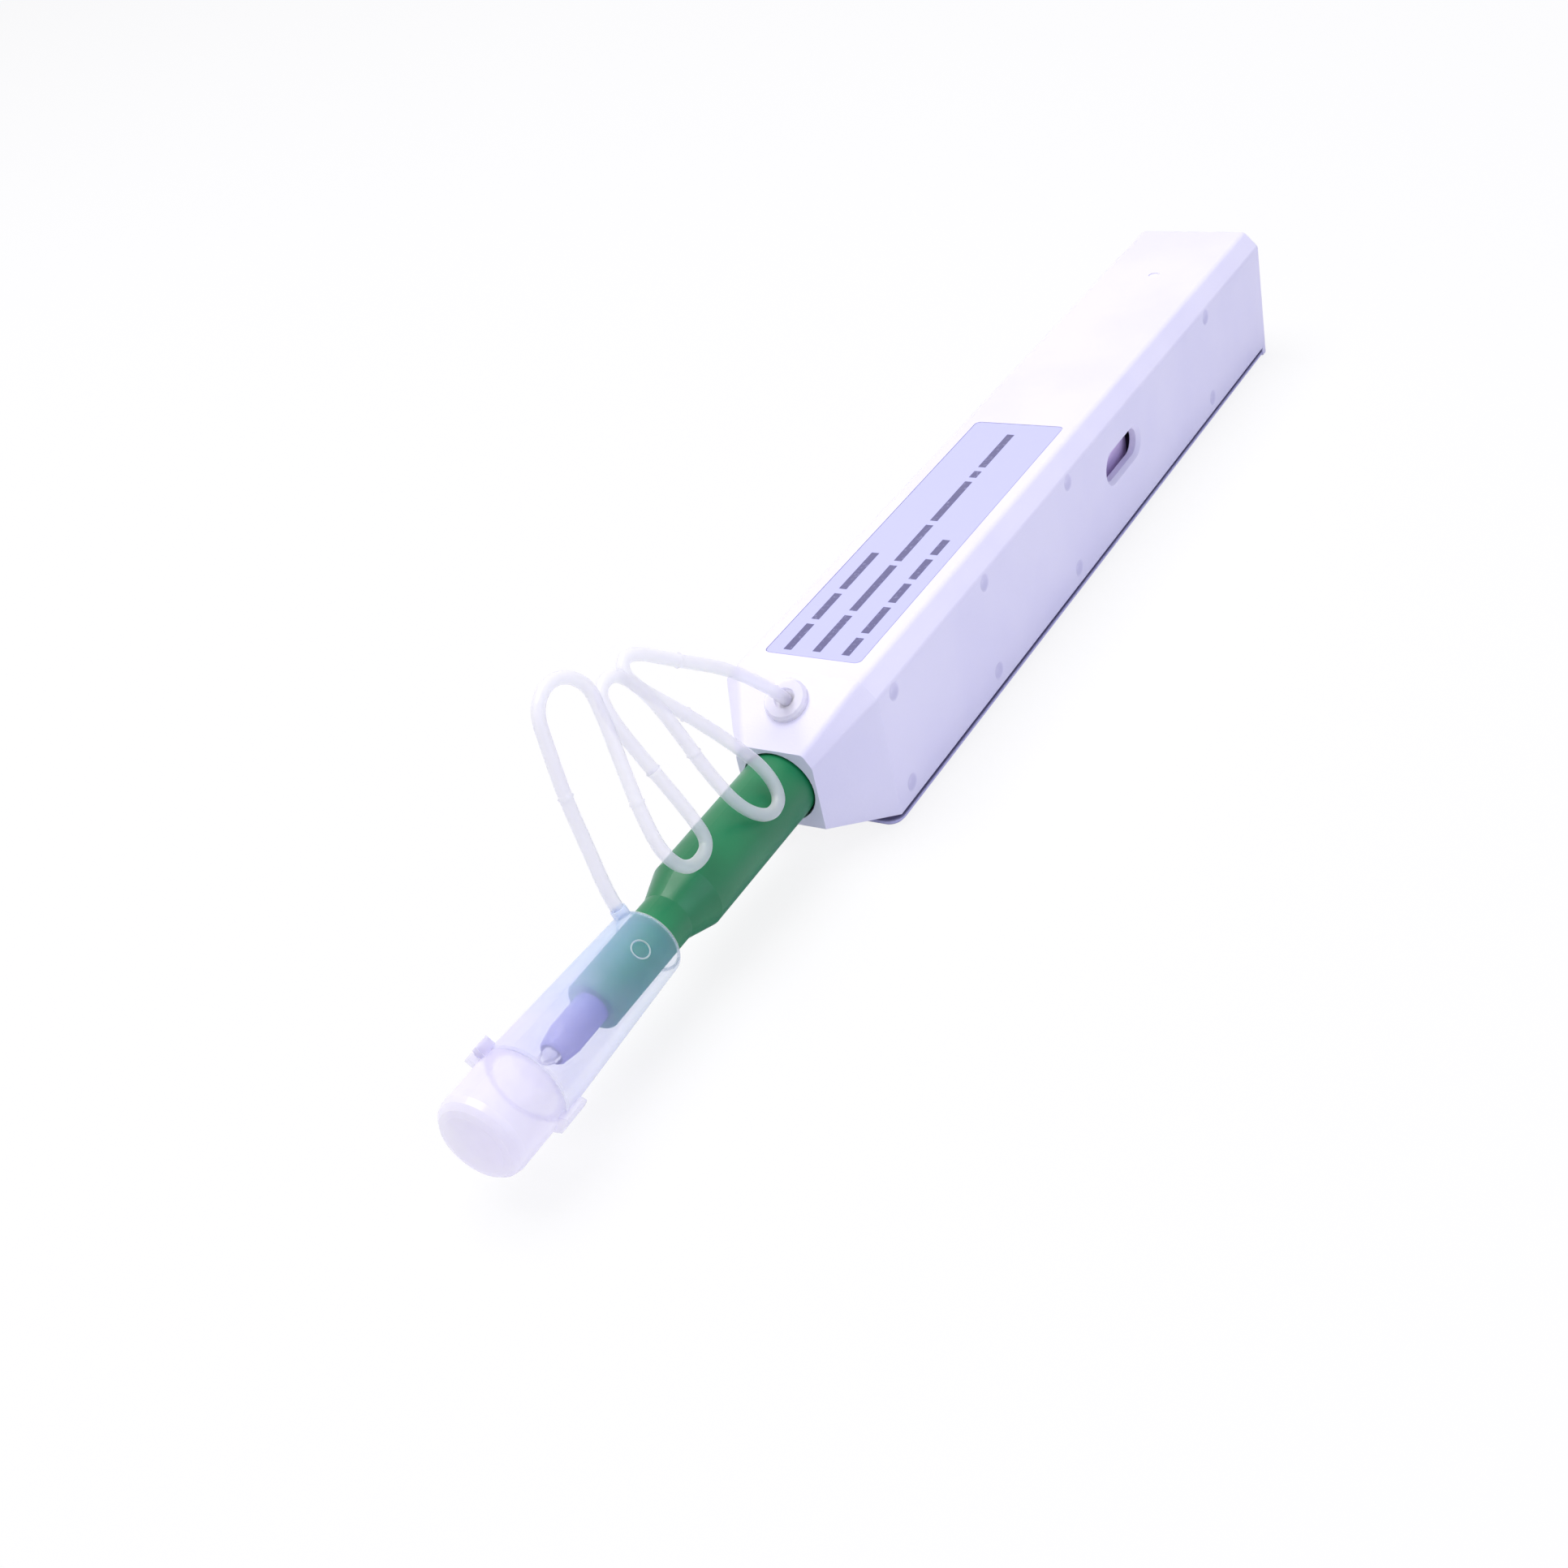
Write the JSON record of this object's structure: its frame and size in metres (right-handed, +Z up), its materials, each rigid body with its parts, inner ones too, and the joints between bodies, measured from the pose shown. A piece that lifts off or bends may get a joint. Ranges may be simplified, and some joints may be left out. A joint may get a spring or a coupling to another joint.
{
  "type": "fibre connector cleaning pen",
  "caption": "One-push cleaner for fibre connector end faces: boxy reel housing, sliding nozzle, and a clear tethered guide cap with a hinged lid.",
  "frame": {"origin": "on the bottom cover's flat underside, under the middle of the capped pen's length and width, cord left out", "axes": "+X along the nozzle towards the cap's lid, +Y out of the side with the reel window, +Z up out of the label"},
  "size_m": [0.2006, 0.021, 0.0386],
  "materials": {
    "body_white": "fine satin, cool white",
    "label_grey": "satin film",
    "clear_plastic": "frosted translucent moulding",
    "frosted_cap": "frosted translucent moulding",
    "nozzle_green": "satin moulded green",
    "tip_grey": "satin",
    "inner_mauve": "moulded",
    "reel_mauve": "moulded",
    "acetal_white": "slick moulding",
    "steel_pin": "turned",
    "spring_steel": "drawn wire",
    "rubber_dark": "moulded",
    "thread_white": "fine lint-free thread"
  },
  "bodies": {
    "housing": {"upper_housing": "body_white", "bottom_cover": "body_white", "label": "label_grey", "tether_plug": "clear_plastic", "tether": "clear_plastic", "return_spring": "spring_steel"},
    "carriage": {"nozzle_tube": "nozzle_green", "tip_sleeve": "tip_grey", "carriage_frame": "inner_mauve", "frame_cover": "inner_mauve", "ratchet_pawl": "acetal_white", "brake_washer": "rubber_dark", "head_spring": "spring_steel", "cleaning_thread": "thread_white"},
    "take_up": {"take_up_reel": "reel_mauve", "drive_gear": "acetal_white", "take_up_thread": "thread_white"},
    "supply": {"supply_reel": "reel_mauve", "supply_thread": "thread_white"},
    "tip_shaft": {"rotor_shaft": "steel_pin", "tip_head": "acetal_white"},
    "cap": {"cap_sleeve": "frosted_cap"},
    "lid": {"cap_lid": "frosted_cap"}
  },
  "joints": [
    {"name": "push_stroke", "type": "slide", "parent": "housing", "child": "carriage", "axis": [-1, 0, 0], "range_m": [0, 0.01], "stiffness_N_per_m": 500, "springref_m": -0.004, "deforming": ["return_spring", "tether"]},
    {"name": "take_up_turn", "type": "hinge", "parent": "carriage", "child": "take_up", "pos_m": [-0.01635, 0, 0.0096], "axis": [0, 1, 0], "range_deg": [-90, 0]},
    {"name": "supply_turn", "type": "hinge", "parent": "carriage", "child": "supply", "pos_m": [-0.04235, 0, 0.0096], "axis": [0, 1, 0], "range_deg": [0, 70]},
    {"name": "tip_turn", "type": "hinge", "parent": "carriage", "child": "tip_shaft", "pos_m": [0.03, 0, 0.0096], "axis": [1, 0, 0], "range_deg": [-180, 0]},
    {"name": "cap_pull", "type": "slide", "parent": "carriage", "child": "cap", "axis": [1, 0, 0], "range_m": [0, 0.045], "deforming": ["tether"]},
    {"name": "lid_open", "type": "hinge", "parent": "cap", "child": "lid", "pos_m": [0.0916, -0.00422, 0.01344], "axis": [0, -0.673, -0.7396], "range_deg": [0, 150]}
  ],
  "couplings": [
    {"joint": "take_up_turn", "follows": "push_stroke", "rad_per_m": -156.25},
    {"joint": "supply_turn", "follows": "push_stroke", "rad_per_m": 120.87},
    {"joint": "tip_turn", "follows": "push_stroke", "rad_per_m": -314.16}
  ]
}
